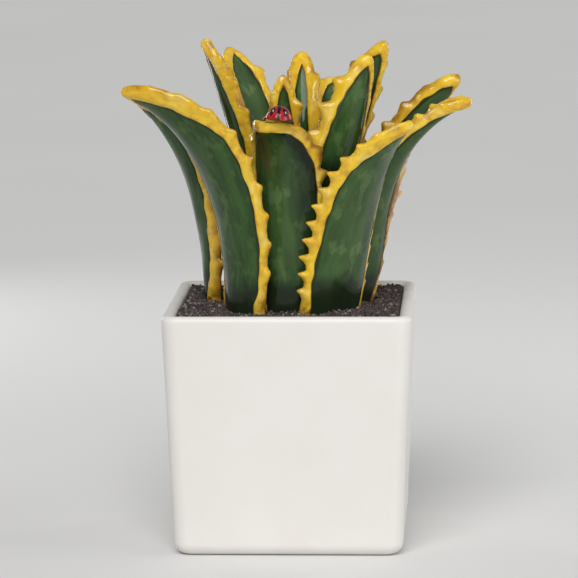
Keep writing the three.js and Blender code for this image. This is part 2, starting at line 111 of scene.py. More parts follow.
# A tooth's course from one gap to the next, and its share of the full height there.
TOOTH_PLACES = (0, 0.3, 0.56, 0.72, 0.82, 0.92, 1)
TOOTH_HEIGHTS = (0, 0.1, 0.5, 1, 0.97, 0.3, 0)

# Spots are given by their middles, and legs by where they start along the body and how far back they go.
LADYBIRD = dict(length=12.0, width=10.6, height=6.2, plate=0.7, keel=0.9, shoulder=2.8, head_at=5.4, spot=1.2,
                spots=((2.5, -3.6), (3.0, 0.4)), legs=((2.9, 1.2), (0.4, 0.3), (-2.4, -1.2)), leaf="front",
                station=0.95, sideways=6.2, lift=-0.15, level=0.55)

# How strongly one side of a leaf is painted darker (negative for its left side), how much paler paint
# lies along its middle, partly brushwork and partly painted sheen, and how strongly painted shade
# browns the teeth on the left and on the right arm of its rim (below zero: the rim beside the green).
DUSK = {"front": 1.0, "inner_front_right": 0.5, "front_left": -0.35, "right": 0.6, "inner_back_left": -0.4}
PALE = {"front_right": 0.6, "front": 0.55, "inner_back_left": 0.9, "inner_left": 0.2, "inner_front_right": 0.3,
        "left": 0.5, "heart": 0.2, "inner_back_right": 0.8, "right": 0.4}
BROWN_SHADE = {"front": (0.2, 0.9), "right": (0.3, -1.3), "inner_right": (0.8, 0.5), "back_right": (0.9, 0.4),
         "left": (0.2, 0.6), "inner_front_right": (0.3, 0.7), "front_right": (0.15, 0.9)}

# How far, in millimetres, the left and the right arm of a rim are turned out from the leaf.
CURL = {"right": (0, 4.8)}

# How far, in millimetres, the left and the right arm of a rim reach further over the green half way up.
OVERLAP = {"right": (0, 2.6)}

# How much wider, in millimetres, one arm of a rim is than the solid's (side 1 is the right arm), and from
# where to where along the leaf this comes in, seen downwards and then upwards.
WIDEN = {("left", 1): (1.2, (0.5, 0.3), (-1, -0.5)), ("front", 1): (-1.7, (0.71, 0.64), (0.35, 0.5))}

# How much taller the painted teeth stand than the solids', and the share of its swell that the left and
# the right arm of a rim keep.
TOOTH_GAIN = 1.25
SWELL = {"front_right": (1.0, 0.15)}

LIGHTS = {
    "right_fill": dict(place=(1.3, -0.35, 0.45), size=(0.8, 0.8), power=4),
    "front_fill": dict(place=(0.5, -1.5, 0.5), size=(0.6, 0.6), power=2),
    "left_strip": dict(place=(-0.42, 0.62, 0.2), size=(0.05, 0.44), power=0.7),
    "right_strip": dict(place=(0.58, 0.48, 0.2), size=(0.05, 0.44), power=0.8),
}


# Meshes from arrays

def linked(name, data):
    """A new object in the scene."""
    made = bpy.data.objects.new(name, data)
    bpy.context.scene.collection.objects.link(made)
    return made


def quads_of(grid, flipped=False):
    """Corner numbers of the faces between the neighbours of a grid of point numbers."""
    a, b, c, d = grid[:-1, :-1], grid[:-1, 1:], grid[1:, 1:], grid[1:, :-1]
    order = (a, d, c, b) if flipped else (a, b, c, d)
    return np.stack(order, axis=-1).reshape(-1, 4)


def piece(name, points, quads, slot, nodes=(), uv=None, smooth=True, **values):
    """A closed piece of the object, of its slot's material, from its points and its four-cornered faces.

    A face whose neighbouring corners are one point becomes a triangle, and one with fewer than three
    different corners is left out, as are points without a face. uv holds two numbers a point, and each of
    values one number a point.
    """
    quads = np.asarray(quads, dtype=np.int64)
    same = quads == np.roll(quads, -1, axis=1)
    full = quads[~same.any(axis=1)]
    pinched = quads[same.sum(axis=1) == 1]
    keep = ~(pinched == np.roll(pinched, -1, axis=1))
    corners = pinched[keep].reshape(-1, 3)
    used, loops = np.unique(np.concatenate([full.ravel(), corners.ravel()]), return_inverse=True)
    loops = loops.ravel()
    starts = np.concatenate([np.arange(len(full)) * 4, len(full) * 4 + np.arange(len(corners)) * 3])
    mesh = bpy.data.meshes.new(name)
    mesh.vertices.add(len(used))
    mesh.vertices.foreach_set("co", (np.asarray(points)[used] * MM).astype(np.float32).ravel())
    mesh.loops.add(len(loops))
    mesh.loops.foreach_set("vertex_index", loops.astype(np.int32))
    mesh.polygons.add(len(starts))
    mesh.polygons.foreach_set("loop_start", starts.astype(np.int32))
    mesh.polygons.foreach_set("use_smooth", np.full(len(starts), smooth))
    if uv is not None:
        layer = mesh.uv_layers.new(name="UVMap")
        layer.data.foreach_set("uv", np.asarray(uv)[used][loops].astype(np.float32).ravel())
    for key, value in values.items():
        numbers = mesh.attributes.new(key, "FLOAT", "POINT")
        numbers.data.foreach_set("value", np.asarray(value).ravel()[used].astype(np.float32))
    mesh.update(calc_edges=True)
    mesh.validate()
    mesh.materials.append(MATERIALS[slot])
    made = linked(name, mesh)
    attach(made, "root")
    if nodes:
        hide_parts(*nodes)


def closed_grid(outer, inner, pointed=False):
    """Points and faces of a shell from its outer and inner face over the same grid.

    The last row of a pointed shell is one point on each face.
    """
    rows, columns = outer.shape[:2]
    top = np.arange(rows * columns).reshape(rows, columns)
    if pointed:
        top[-1] = top[-1, 0]
    low = top + rows * columns
    faces = [quads_of(top), quads_of(low, True),
             quads_of(np.stack([top[:, 0], low[:, 0]], 1), True),
             quads_of(np.stack([top[:, -1], low[:, -1]], 1)),
             quads_of(np.stack([top[0], low[0]], 1)),
             quads_of(np.stack([top[-1], low[-1]], 1), True)]
    return np.concatenate([outer.reshape(-1, 3), inner.reshape(-1, 3)]), np.concatenate(faces)


def capped(rings, first, last):
    """Points of stacked rings between two single points, and their numbers as a grid closed all round."""
    count = rings.shape[1]
    points = np.concatenate([[first], rings.reshape(-1, 3), [last]])
    grid = 1 + np.arange(rings.shape[0] * count).reshape(-1, count)
    grid = np.concatenate([np.zeros((1, count), int), grid, np.full((1, count), len(points) - 1)])
    return points, np.concatenate([grid, grid[:, :1]], axis=1)


def poled(rings):
    """Points and faces of stacked rings whose first and last ring are poles."""
    grid = np.arange(rings.shape[0] * rings.shape[1]).reshape(rings.shape[:2])
    grid[0], grid[-1] = grid[0, 0], grid[-1, 0]
    return rings.reshape(-1, 3), quads_of(np.concatenate([grid, grid[:, :1]], axis=1), flipped=True)


def lumps(u, v, seed):
    """A soft uneven field over u and v, mostly from -1 to 1.

    It is the sum of seven sine waves of lengths 0.7 to 1.6 whose directions and starts come from the seed.
    """
    waves = 7
    rng = np.random.default_rng(seed)
    turn = rng.uniform(0, 2 * math.pi, waves)
    size = rng.uniform(0.7, 1.6, waves)
    start = rng.uniform(0, 2 * math.pi, waves)
    u, v = np.broadcast_arrays(np.asarray(u, float), np.asarray(v, float))
    phase = 2 * math.pi * (u[..., None] * np.cos(turn) + v[..., None] * np.sin(turn)) / size + start
    return np.sin(phase).sum(axis=-1) / math.sqrt(2 * waves)


def relief(across, along, seed, rows):
    """The sum of several fields of lumps, given by their rows."""
    return sum(height * lumps(across / wide, along / long, seed + extra) for height, wide, long, extra in rows)


def rounded(x):
    """A quarter circle's rise: 0 at x = 0, upright there, and level at 1 from x = 1 on."""
    return np.sqrt(1 - (1 - np.clip(x, 0, 1)) ** 2)


def eased(x):
    """A rise from 0 to 1 with level ends."""
    x = np.clip(x, 0, 1)
    return x * x * (3 - 2 * x)


def ramp(x, start, stop):
    """A rise from 0 at start to 1 at stop with level ends; stop may lie below start."""
    return eased((x - start) / (stop - start))


def between(pair, share):
    return pair[0] + (pair[1] - pair[0]) * share


# Leaf form, the same as the solids'

def leaf_direction(leaf, s):
    """The way the leaf runs at s: it leans from upright by lean, which grows with s to the power bend."""
    lean = np.radians(between(leaf["lean"], s ** leaf["bend"]))
    heading = math.radians(leaf["heading"])
    return np.stack([np.sin(lean) * math.sin(heading), -np.sin(lean) * math.cos(heading), np.cos(lean)], -1)


def leaf_spine(leaf):
    """The middle of the inner face from foot to tip: the running sum of the leaf's direction."""
    steps = 400
    at = math.radians(leaf["at"])
    foot = np.array([leaf["reach"] * math.sin(at), -leaf["reach"] * math.cos(at), SOIL_LINE])
    way = leaf_direction(leaf, np.linspace(0, 1, steps + 1))
    strides = (way[:-1] + way[1:]) * leaf["length"] / steps / 2
    return foot + np.concatenate([np.zeros((1, 3)), np.cumsum(strides, axis=0)])


def half_width(leaf, s):
    """Half the width without teeth: a quarter sine up to the widest place, then one minus a power."""
    up = np.clip(s, 0, 1)
    swell = np.sin(np.clip(up / leaf["widest"], 0, 1) * math.pi / 2)
    narrow = 1 - np.clip((up - leaf["widest"]) / (1 - leaf["widest"]), 0, 1) ** leaf["taper"]
    body = leaf["width"] / 2 * (leaf["foot"] + (1 - leaf["foot"]) * swell) * narrow
    return body + leaf["blunt"] * up * np.sqrt(1 - up ** 30)


def green_half(leaf, s):
    """Half the green's width: the half width less the rim, and drawn to a point near the tip."""
    up = np.clip(s, 0, 1)
    rim = leaf["band"] * between((0.72, 1.0), np.clip(up / 0.3, 0, 1))
    pointed = leaf["point"] * (LEAF["apex_at"] - up) * leaf["length"]
    return np.minimum(half_width(leaf, up) - rim, pointed)


def leaf_apex(leaf):
    """Where the green is down to its last width, and where the two arms of the rim meet above it."""
    s = np.linspace(0.3, LEAF["apex_at"], 1301)
    end = s[green_half(leaf, s) >= LEAF["apex_half"]].max()
    return end, min(end + LEAF["apex_run"] / leaf["length"], LEAF["apex_at"])


def green_border(leaf, s):
    """Half the green's width all the way: it ends in a straight-sided point where the arms meet."""
    end, meet = leaf_apex(leaf)
    tip = LEAF["apex_half"] * np.clip((meet - s) / (meet - end), 0, 1)
    return np.where(s < end, green_half(leaf, s), tip)


def leaf_point(leaf, s, w, depth):
    """A point at s along the leaf, w across it and depth out from its inner face.

    The section is an arc about the spine whose half width spans the cup's angle; it is turned by roll.
    Curl bends it outwards from half way to the edge on, with a power of 1.5.
    """
    s, w, depth = np.broadcast_arrays(np.asarray(s, float), w, depth)
    up = np.clip(s, 0, 1)
    spine = leaf_spine(leaf)
    knots = np.linspace(0, 1, len(spine))
    centre = np.stack([np.interp(up, knots, spine[:, k]) for k in range(3)], -1)
    along = leaf_direction(leaf, up)
    centre = centre + along * (np.minimum(s, 0) * leaf["length"])[..., None]
    heading = math.radians(leaf["heading"])
    level = np.broadcast_to([math.cos(heading), math.sin(heading), 0.0], along.shape)
    roll = np.radians(between(leaf["roll"], up))[..., None]
    across = level * np.cos(roll) + np.cross(along, level) * np.sin(roll)
    inward = np.cross(along, across)
    half = np.maximum(half_width(leaf, up), LEAF["least_half"])
    radius = half / np.radians(between(leaf["cup"], up))
    turn = w / radius
    curl = np.where(w > 0, leaf["curl"][1], leaf["curl"][0]) * ramp(up, 0.2, 0.55) * ramp(up, 0.9, 0.65)
    depth = depth + curl * np.clip(2 * np.abs(w) / half - 1, 0, 1.4) ** 1.5
    side = (radius + depth) * np.sin(turn)
    lift = radius * (1 - np.cos(turn)) - depth * np.cos(turn)
    return centre + across * side[..., None] + inward * lift[..., None]


def leaf_thickness(leaf, s, w):
    """Thickest in the middle; at the leaf's edge it is down to the edge thickness, as a parabola."""
    share = np.clip(np.abs(w) / np.maximum(half_width(leaf, s), 0.01), 0, 1)
    return between(leaf["thick"], np.clip(s, 0, 1)) * (1 - (1 - LEAF["edge_thickness"]) * share ** 2)


def foot_of(leaf, level):
    """How far below the soil line the leaf starts, as a share of its length."""
    return -(SOIL_LINE - level) / math.cos(math.radians(leaf["lean"][0])) / leaf["length"]


# Leaf pieces

def blade_paint(name, s, share, w, run, seed):
    """How dark, pale and brown the green is painted at each point of a face.

    It is painted darker along one side, and low down on the inner leaves as painted shade where the outer
    leaves shade them; a pale broken band lies along the middle, partly brushwork and partly painted sheen;
    and the front leaf has a brown upper corner.
    """
    strength = DUSK.get(name, 0.25)
    dusk = abs(strength) * ramp(np.sign(strength) * share, 0.1, 0.75) * ramp(s, 0.1, 0.35)
    # Painted shade: the inner leaves are darkened low down, where the outer leaves shade them.
    if name in INNER_LEAVES:
        dusk = np.maximum(dusk, 0.95 * ramp(s, 0.61, 0.51))
    # Paler paint along the middle: partly brushwork, partly painted sheen where leaves catch the light.
    pale = PALE.get(name, 0.1) * (1 - ramp(np.abs(share + 0.1), 0.3, 0.9)) * ramp(s, 0.08, 0.23)
    pale = pale * (0.75 + 0.25 * lumps(w / 8, run / 24, seed + 91))
    corner = 0.8 * ramp(share, -0.05, -0.35) * ramp(s, 0.6, 0.72) * (name == "front")
    corner = corner * (0.6 + 0.4 * lumps(w / 4, run / 9, seed + 92))
    return {"dusk": dusk, "pale": np.clip(pale, 0, 1), "corner": np.clip(corner, 0, 1)}


def build_blade(name, leaf, level, seed):
    """The green blade: two faces over a grid of s and w, joined along their edges.

    It reaches a millimetre under the rim on each side, and both faces carry soft lumps and long flutes.
    """
    rows, columns = 150, 22
    meet = leaf_apex(leaf)[1]
    s = np.linspace(foot_of(leaf, level), meet, rows)[:, None]
    under = np.clip((meet - s) * leaf["length"] / 2, 0, 1)
    half = green_border(leaf, s) + under
    share = np.linspace(-1, 1, columns)[None, :]
    w = half * share
    run = s * leaf["length"] + 0 * w
    thick = leaf_thickness(leaf, s, w)
    flat = 1 - 0.6 * share ** 6
    outer = leaf_point(leaf, s, w, thick + flat * relief(w, run, seed + 50, GREEN_LUMPS))
    inner = leaf_point(leaf, s, w, -flat * relief(w, run, seed, GREEN_LUMPS))
    points, quads = closed_grid(outer, inner, pointed=True)
    values = {"line": half * (1 - np.abs(share)) - under, **blade_paint(name, s, share, w, run, seed)}
    values = {key: np.tile(value.ravel(), 2) for key, value in values.items()}
    uv = np.tile(np.stack([w / 10 + seed * 3.7, run / 10], -1).reshape(-1, 2), (2, 1))
    uv[:rows * columns, 0] += 41.3
    piece(f"{name}_green", points, quads, "blade", [f"{name}_blade"], uv, **values)


def tooth_height(leaf, s, side):
    """Height of the toothed edge at s: each tooth rises slowly, turns over and drops quickly.

    The teeth grow from the foot and fade towards the tip; the sharp course is blurred a little.
    """
    fine = np.linspace(-0.2, 1, 2401)
    spacing = LEAF["tooth_fade"] / leaf["teeth"]
    start = spacing * (0.15 + (0.5 if side > 0 else 0) + leaf["phase"])
    place = (fine - start) / spacing
    inside = (place >= 0) & (place < leaf["teeth"])
    shape = np.interp(place % 1, TOOTH_PLACES, TOOTH_HEIGHTS)
    size = np.clip((0.96 - fine) / leaf["calm_tip"], 0, 1) * np.clip(0.45 + fine * 2.4, 0, 1)
    course = np.where(inside & (fine < leaf_apex(leaf)[0]), leaf["tooth"] * TOOTH_GAIN * size * shape, 0)
    spread = 0.22 / leaf["length"] / (fine[1] - fine[0])
    reach = np.arange(-20, 21)
    kernel = np.exp(-0.5 * (reach / spread) ** 2)
    return np.interp(s, fine, np.convolve(course, kernel / kernel.sum(), mode="same"))


def nearest(w, run, edge_w, edge_run):
    """How far each point of the flat leaf is from a line given by its points."""
    gap = (w[..., None] - edge_w) ** 2 + (run[..., None] - edge_run) ** 2
    return np.sqrt(gap.min(axis=-1))


def arm_edges(name, leaf, s, side, field):
    """How far from the leaf's middle an arm of its rim starts, beside the green, and where its teeth end.

    Both lines waver; the arm flares out at its foot and is a little drawn in above it.
    """
    length = leaf["length"]
    run = s * length
    flare = 1.1 * eased((0.1 - s) * length / 9) - 0.5 * eased(1 - np.abs(s - 0.2) / 0.13)
    overlap = OVERLAP.get(name, (0, 0))[side > 0] * ramp(s, 0.2, 0.4) * ramp(s, 0.9, 0.7)
    calm = eased((leaf_apex(leaf)[1] - s) * length / 14)
    border = green_border(leaf, s) + 0.32 * calm * lumps(run / 9, 0 * s, field + 3) - 0.7 * flare - overlap
    waver = 0.2 * eased((1 - s) * length / 6) * lumps(run / 6, 0 * s, field + 5)
    edge = half_width(leaf, s) + tooth_height(leaf, s, side) + waver + 0.3 * flare
    if (name, side) in WIDEN:
        wider, downwards, upwards = WIDEN[name, side]
        edge = edge + wider * ramp(s, *downwards) * ramp(s, *upwards)
    return border, edge


def rim_arm(name, leaf, s, joint, side, seed):
    """One arm of a rim, over a grid of s and v: its points, its surface coordinates and its paint.

    v goes from the border of the green to the toothed edge and back on the other face. Both faces swell out
    of the blade with a quarter circle and roll off to the middle of the leaf's thickness at the edge.
    """
    columns = 13
    v = (1 - np.cos(np.linspace(0, 1, columns) * math.pi)) / 2
    field = seed + 11 * side
    border, edge = arm_edges(name, leaf, s, side, field)
    w = border[:, None] + (edge - border)[:, None] * v
    run = (s * leaf["length"])[:, None] + 0 * w
    line = nearest(w, run, border[:joint + 1], run[:joint + 1, 0])
    rim = nearest(w, run, edge, run[:, 0])
    middle = leaf_thickness(leaf, s[:, None], w) / 2
    raised = LEAF["swell"] * SWELL.get(name, (1.0, 1.0))[side > 0] * (1 + relief(w, run, field, RIM_LUMPS))
    bead = (raised + LEAF["sunk"]) * rounded(line / 1.3) - LEAF["sunk"]
    tooth = np.clip((w - half_width(leaf, s)[:, None]) / leaf["tooth"] / TOOTH_GAIN, 0, 1)
    body = (middle + bead) * (1 - 0.3 * tooth) * rounded((rim + 0.02) / 2.1)
    top = leaf_point(leaf, s[:, None], side * w, middle - body)
    under = leaf_point(leaf, s[:, None], side * w, middle + body)
    # Painted shade: brown on arms turned away from the light, at the teeth or beside the green.
    brown = BROWN_SHADE.get(name, (0.3, 0.3))[side > 0]
    across = ramp(v, 0.25, 0.85) if brown > 0 else ramp(v, 0.85, 0.35)
    brown = abs(brown) * across * ramp(s, 0.97, 0.85)[:, None]
    # Painted shade: the inner leaves' rims are browned low down, where the outer leaves shade them.
    if name in INNER_LEAVES:
        brown = np.maximum(brown, 0.8 * ramp(s, 0.58, 0.46)[:, None])
    ring = np.concatenate([np.arange(columns), np.arange(columns - 2, -1, -1)])
    uv = np.stack([line / 10 + seed * 1.9 + 5 * side, run / 10], -1)
    values = {"line": line[:, ring], "rim": rim[:, ring], "brown": brown[:, ring]}
    return np.concatenate([top, under[:, -2::-1]], axis=1), uv[:, ring], values


def build_margin(name, leaf, level, seed):
    """The yellow rim: two arms with flat feet, one body above the point of the green."""
    meet = leaf_apex(leaf)[1]
    lower = np.linspace(foot_of(leaf, level), meet, 236)
    upper = 1 - (1 - meet) * (1 - np.linspace(0, 1, 35)[1:]) ** 1.6
    s = np.concatenate([lower, upper])
    joint = len(lower) - 1
    points, uvs, paints = zip(*(rim_arm(name, leaf, s, joint, side, seed) for side in (1, -1)))
    count = points[0].shape[1]
    right = np.arange(len(s) * count).reshape(len(s), count)
    right[-1] = right[-1, 0]
    left = right + right.size
    left[joint:, 0] = right[joint:, 0]
    left[joint:, -1] = right[joint:, -1]
    left[-1] = right[-1]
    quads = []
    for grid, flipped in ((right, True), (left, False)):
        inside = np.stack([grid[:joint + 1, -1], grid[:joint + 1, 0]], 1)
        half = count // 2 + 1
        foot = np.stack([grid[0, :half], grid[0, ::-1][:half]])
        quads += [quads_of(grid, flipped), quads_of(inside, flipped), quads_of(foot, not flipped)]
    values = {key: np.concatenate([paint[key].ravel() for paint in paints]) for key in paints[0]}
    piece(f"{name}_rim", np.concatenate(points).reshape(-1, 3), np.concatenate(quads), "margin",
          [f"{name}_margin"], np.concatenate(uvs).reshape(-1, 2), **values)


# Pot

def square_ring(half, radius):
    """A square ring of points with rounded corners, from the right side round to the left."""
    side_points, corner_points = 22, 15
    ring = []
    for corner in range(4):
        turn = (corner + np.linspace(0, 1, corner_points)) * math.pi / 2
        centre, after = [np.sign([math.cos(middle), math.sin(middle)]) * (half - radius)
                         for middle in ((corner + 0.5) * math.pi / 2, (corner + 1.5) * math.pi / 2)]
        bow = centre + radius * np.stack([np.cos(turn), np.sin(turn)], -1)
        steps = np.linspace(0, 1, side_points + 2)[1:-1, None]
        ring += [bow, bow[-1] + (after - centre) * steps]
    return np.concatenate(ring)


def pot_half(z):
    """Half the pot's outer width at a height."""
    return between((POT["foot"], POT["top"]), z / POT["height"]) / 2


def arc(degrees, count):
    """Sine and cosine at even steps from no turn to a turn in degrees."""
    turn = np.radians(np.linspace(0, degrees, count))
    return zip(np.sin(turn), np.cos(turn))


def build_pot():
    """The pot: square rings carried up the outside, over the round rim and down the inside.

    A ring's half width follows the wall's slope less an inset; a slow waviness of a tenth or two of a
    millimetre makes it hand finished.
    """
    foot, rim, inner = POT["foot_round"], POT["rim"], POT["inner_round"]
    shoulder = POT["height"] - rim
    outside = [(foot * (1 - c), foot * (1 - s)) for s, c in arc(90, 12)]
    outside += [(z, 0.0) for z in np.linspace(foot, shoulder, 42)[1:-1]]
    lip = [(shoulder + rim * s, POT["wall"] / 2 * (1 - c)) for s, c in arc(180, 26)]
    inside = [(z, POT["wall"]) for z in np.linspace(shoulder, POT["floor"] + inner, 16)[1:-1]]
    inside += [(POT["floor"] + inner * (1 - s), POT["wall"] + inner * (1 - c)) for s, c in arc(90, 8)]
    stations = outside + lip + inside
    rings = []
    for z, inset in stations:
        flat = square_ring(pot_half(z) - inset, max(POT["corner"] - inset * 0.6, 1.2))
        rings.append(np.column_stack([flat, np.full(len(flat), z)]))
    rings = np.stack(rings)
    bearing = np.arctan2(rings[..., 1], rings[..., 0])
    wave = 0.16 * lumps(2.2 * np.cos(bearing) + rings[..., 2] / 55, 2.2 * np.sin(bearing), 5)
    fade = 1 - eased((np.arange(len(stations)) - 70) / 6)
    out = rings[..., :2] / np.linalg.norm(rings[..., :2], axis=-1, keepdims=True)
    rings[..., :2] += out * (wave * eased(rings[..., 2] / 10) * fade[:, None])[..., None]
    points, grid = capped(rings, [0, 0, rings[0, 0, 2]], [0, 0, rings[-1, 0, 2]])
    piece("pot_glazed", points, quads_of(grid), "pot", ["pot"])


# Grit

def cavity_reach(angle, half, radius):
    """How far a square with rounded corners reaches from its middle in one direction."""
    c, s = np.abs(np.cos(angle)), np.abs(np.sin(angle))
    flat = half / np.maximum(c, s)
    inner = half - radius
    along = inner * (c + s)
    rounded_corner = along + np.sqrt(np.maximum(along ** 2 - 2 * inner ** 2 + radius ** 2, 0))
    return np.where(flat * np.minimum(c, s) <= inner, flat, rounded_corner)


def grit_height(x, y):
    """Height of the grit: it climbs a millimetre from the wall to the middle, with uneven heaps."""
    reach = np.maximum(np.abs(x), np.abs(y))
    climb = between((SOIL["inner"], SOIL["edge"]), eased(reach / SOIL["half"]))
    return climb + relief(x, y, 21, GRIT_LUMPS) * SOIL["grain"] - 0.2


def build_soil():
    """The grit's body: a rough top over the whole cavity, and a wall down to the pot's floor."""
    angle = np.linspace(0, 2 * math.pi, 260, endpoint=False)
    inset = POT["wall"] + SOIL["gap"]
    bottom = POT["floor"] + SOIL["gap"]
    corner = max(POT["corner"] - inset * 0.6, 1.2)
    rings = []
    for share in np.linspace(0.02, 1, 90):
        reach = share * cavity_reach(angle, pot_half(SOIL["edge"]) - inset, corner)
        x, y = reach * np.cos(angle), reach * np.sin(angle)
        rings.append(np.stack([x, y, grit_height(x, y)], -1))
    for z, extra in ((60.0, 0.0), (bottom + POT["inner_round"], 0.0), (bottom, POT["inner_round"])):
        reach = cavity_reach(angle, pot_half(z) - inset - extra, corner)
        rings.append(np.stack([reach * np.cos(angle), reach * np.sin(angle), np.full(len(angle), z)], -1))
    points, grid = capped(np.stack(rings), [0, 0, SOIL["inner"]], [0, 0, bottom])
    piece("grit_bed", points, quads_of(grid, flipped=True), "soil", ["soil"], tone=np.full(len(points), 0.3))


def build_grains():
    """Loose grains: one twenty-sided stone, stretched, turned and strewn thousands of times over the top."""
    rng = np.random.default_rng(31)
    golden = (1 + math.sqrt(5)) / 2
    corners = np.array([[-1, golden, 0], [1, golden, 0], [-1, -golden, 0], [1, -golden, 0], [0, -1, golden],
                        [0, 1, golden], [0, -1, -golden], [0, 1, -golden], [golden, 0, -1], [golden, 0, 1],
                        [-golden, 0, -1], [-golden, 0, 1]]) / math.hypot(1, golden)
    sides = np.array([[0, 11, 5], [0, 5, 1], [0, 1, 7], [0, 7, 10], [0, 10, 11], [1, 5, 9], [5, 11, 4],
                      [11, 10, 2], [10, 7, 6], [7, 1, 8], [3, 9, 4], [3, 4, 2], [3, 2, 6], [3, 6, 8],
                      [3, 8, 9], [4, 9, 5], [2, 4, 11], [6, 2, 10], [8, 6, 7], [9, 8, 1]])
    half = pot_half(SOIL["edge"]) - POT["wall"] - 0.9
    x, y = rng.uniform(-half, half, (2, SOIL["grains"]))
    keep = np.hypot(x, y) > SOIL["bare"]
    x, y = x[keep], y[keep]
    count = len(x)
    size = 0.32 + 0.55 * rng.random(count) ** 2.2
    turn = rng.normal(size=(count, 3, 3))
    turn = np.linalg.qr(turn)[0]
    turn = turn * np.sign(np.linalg.det(turn))[:, None, None]
    stretch = rng.uniform(0.65, 1.15, (count, 1, 3))
    jagged = corners * rng.uniform(0.8, 1.15, (count, 12, 1))
    stones = np.einsum("nij,nkj->nki", turn, jagged * stretch) * size[:, None, None]
    stones[..., 0] += x[:, None]
    stones[..., 1] += y[:, None]
    stones[..., 2] += (grit_height(x, y) + 0.35 * size)[:, None]
    faces = (sides[None] + 12 * np.arange(count)[:, None, None]).reshape(-1, 3)
    faces = np.column_stack([faces, faces[:, 2]])
    tone = np.repeat(rng.random(count), 12)
    piece("grit_grains", stones.reshape(-1, 3), faces, "soil", smooth=False, tone=tone)


# Ladybird

def perched(points):
    """Points of the ladybird moved to its place and turn on its leaf, as in the solids."""
    leaf = LEAVES[LADYBIRD["leaf"]]
    s = LADYBIRD["station"]
    inward = leaf_point(leaf, s, 0.0, 0.0) - leaf_point(leaf, s, 0.0, 1.0)
    up = inward * (1 - LADYBIRD["level"]) + np.array([0, 0, 1]) * LADYBIRD["level"]
    up /= np.linalg.norm(up)
    side = np.cross([0, 1, 0], up)
    side /= np.linalg.norm(side)
    middle = leaf_point(leaf, s, LADYBIRD["sideways"], -LADYBIRD["lift"])
    return middle + points[..., :1] * side + points[..., 1:2] * np.cross(up, side) + points[..., 2:] * up


def dome_height(x, y):
    """Height of the ladybird's shell over its underside: an ellipsoid."""
    inside = np.maximum(1 - (2 * x / LADYBIRD["width"]) ** 2 - (2 * y / LADYBIRD["length"]) ** 2, 0)
    return LADYBIRD["height"] * np.sqrt(inside)


def build_wing(name, side, node):
    """One wing cover: a shell over the ellipsoid between the keel and the rim, with rounded borders."""
    keel = LADYBIRD["keel"] / 2 + 0.12
    y = np.linspace(-LADYBIRD["length"] / 2 * 0.985, LADYBIRD["shoulder"], 48)[:, None]
    rim_x = LADYBIRD["width"] / 2 * np.sqrt(np.maximum(1 - (y / (LADYBIRD["length"] / 2)) ** 2, 0))
    share = np.sin(np.linspace(0, 1, 40) * math.pi / 2)[None, :]
    x = keel + (rim_x * 0.985 - keel) * share
    edge = np.minimum(np.minimum((x - keel) / 0.5, (LADYBIRD["shoulder"] - y) / 0.6), 1)
    z = dome_height(x, y) - 0.35 * (1 - rounded(edge))
    z = np.maximum(z, LADYBIRD["plate"] * 0.6)
    outer = np.stack([side * x, y + 0 * x, z], -1)
    inner = outer * [1, 1, 0] + np.stack([0 * x, 0 * x, np.maximum(z - 0.5, 0.3)], -1)
    points, faces = closed_grid(outer, inner)
    if side < 0:
        faces = faces[:, ::-1]
    piece(name, perched(points), faces, "ladybird_red", [node])


def ball(centre, radii, rows=18, columns=28):
    """Points and faces of an ellipsoid over a grid of two angles, closed at both poles."""
    polar = np.linspace(0, math.pi, rows)[:, None]
    turn = np.linspace(0, 2 * math.pi, columns, endpoint=False)[None, :]
    unit = np.stack([np.sin(polar) * np.cos(turn), np.sin(polar) * np.sin(turn), np.cos(polar) + 0 * turn], -1)
    return poled(unit * radii + centre)


def spot_patch(x, y):
    """A black spot: a round lens that lies on the shell, swells a little above it and reaches below it."""
    share = np.concatenate([np.linspace(0, 1, 9), [0.6, 0.0]])[:, None]
    turn = np.linspace(0, 2 * math.pi, 28, endpoint=False)[None, :]
    px = x + LADYBIRD["spot"] * share * np.cos(turn)
    py = y + LADYBIRD["spot"] * 1.15 * share * np.sin(turn)
    rise = 0.16 * rounded((1 - share) / 0.5) - 0.08
    rise[9:] = -0.3
    return poled(np.stack([px, py, dome_height(px, py) + rise], -1))


def leg(start, knee, foot):
    """A bent leg: a round tube through three points that thins towards the foot."""
    knots = np.array([start, knee, foot], float)
    t = np.linspace(0, 1, 12)[:, None]
    path = (1 - t) ** 2 * knots[0] + 2 * t * (1 - t) * knots[1] + t ** 2 * knots[2]
    way = np.gradient(path, axis=0)
    way /= np.linalg.norm(way, axis=1, keepdims=True)
    side = np.cross(way, [0.0, 1.0, 0.2])
    side /= np.linalg.norm(side, axis=1, keepdims=True)
    other = np.cross(way, side)
    turn = np.linspace(0, 2 * math.pi, 10, endpoint=False)
    thick = (0.34 - 0.14 * t)[:, :, None]
    ring = path[:, None] + thick * (side[:, None] * np.cos(turn)[None, :, None]
                                    + other[:, None] * np.sin(turn)[None, :, None])
    points, grid = capped(ring, path[0], path[-1])
    return points, quads_of(grid)


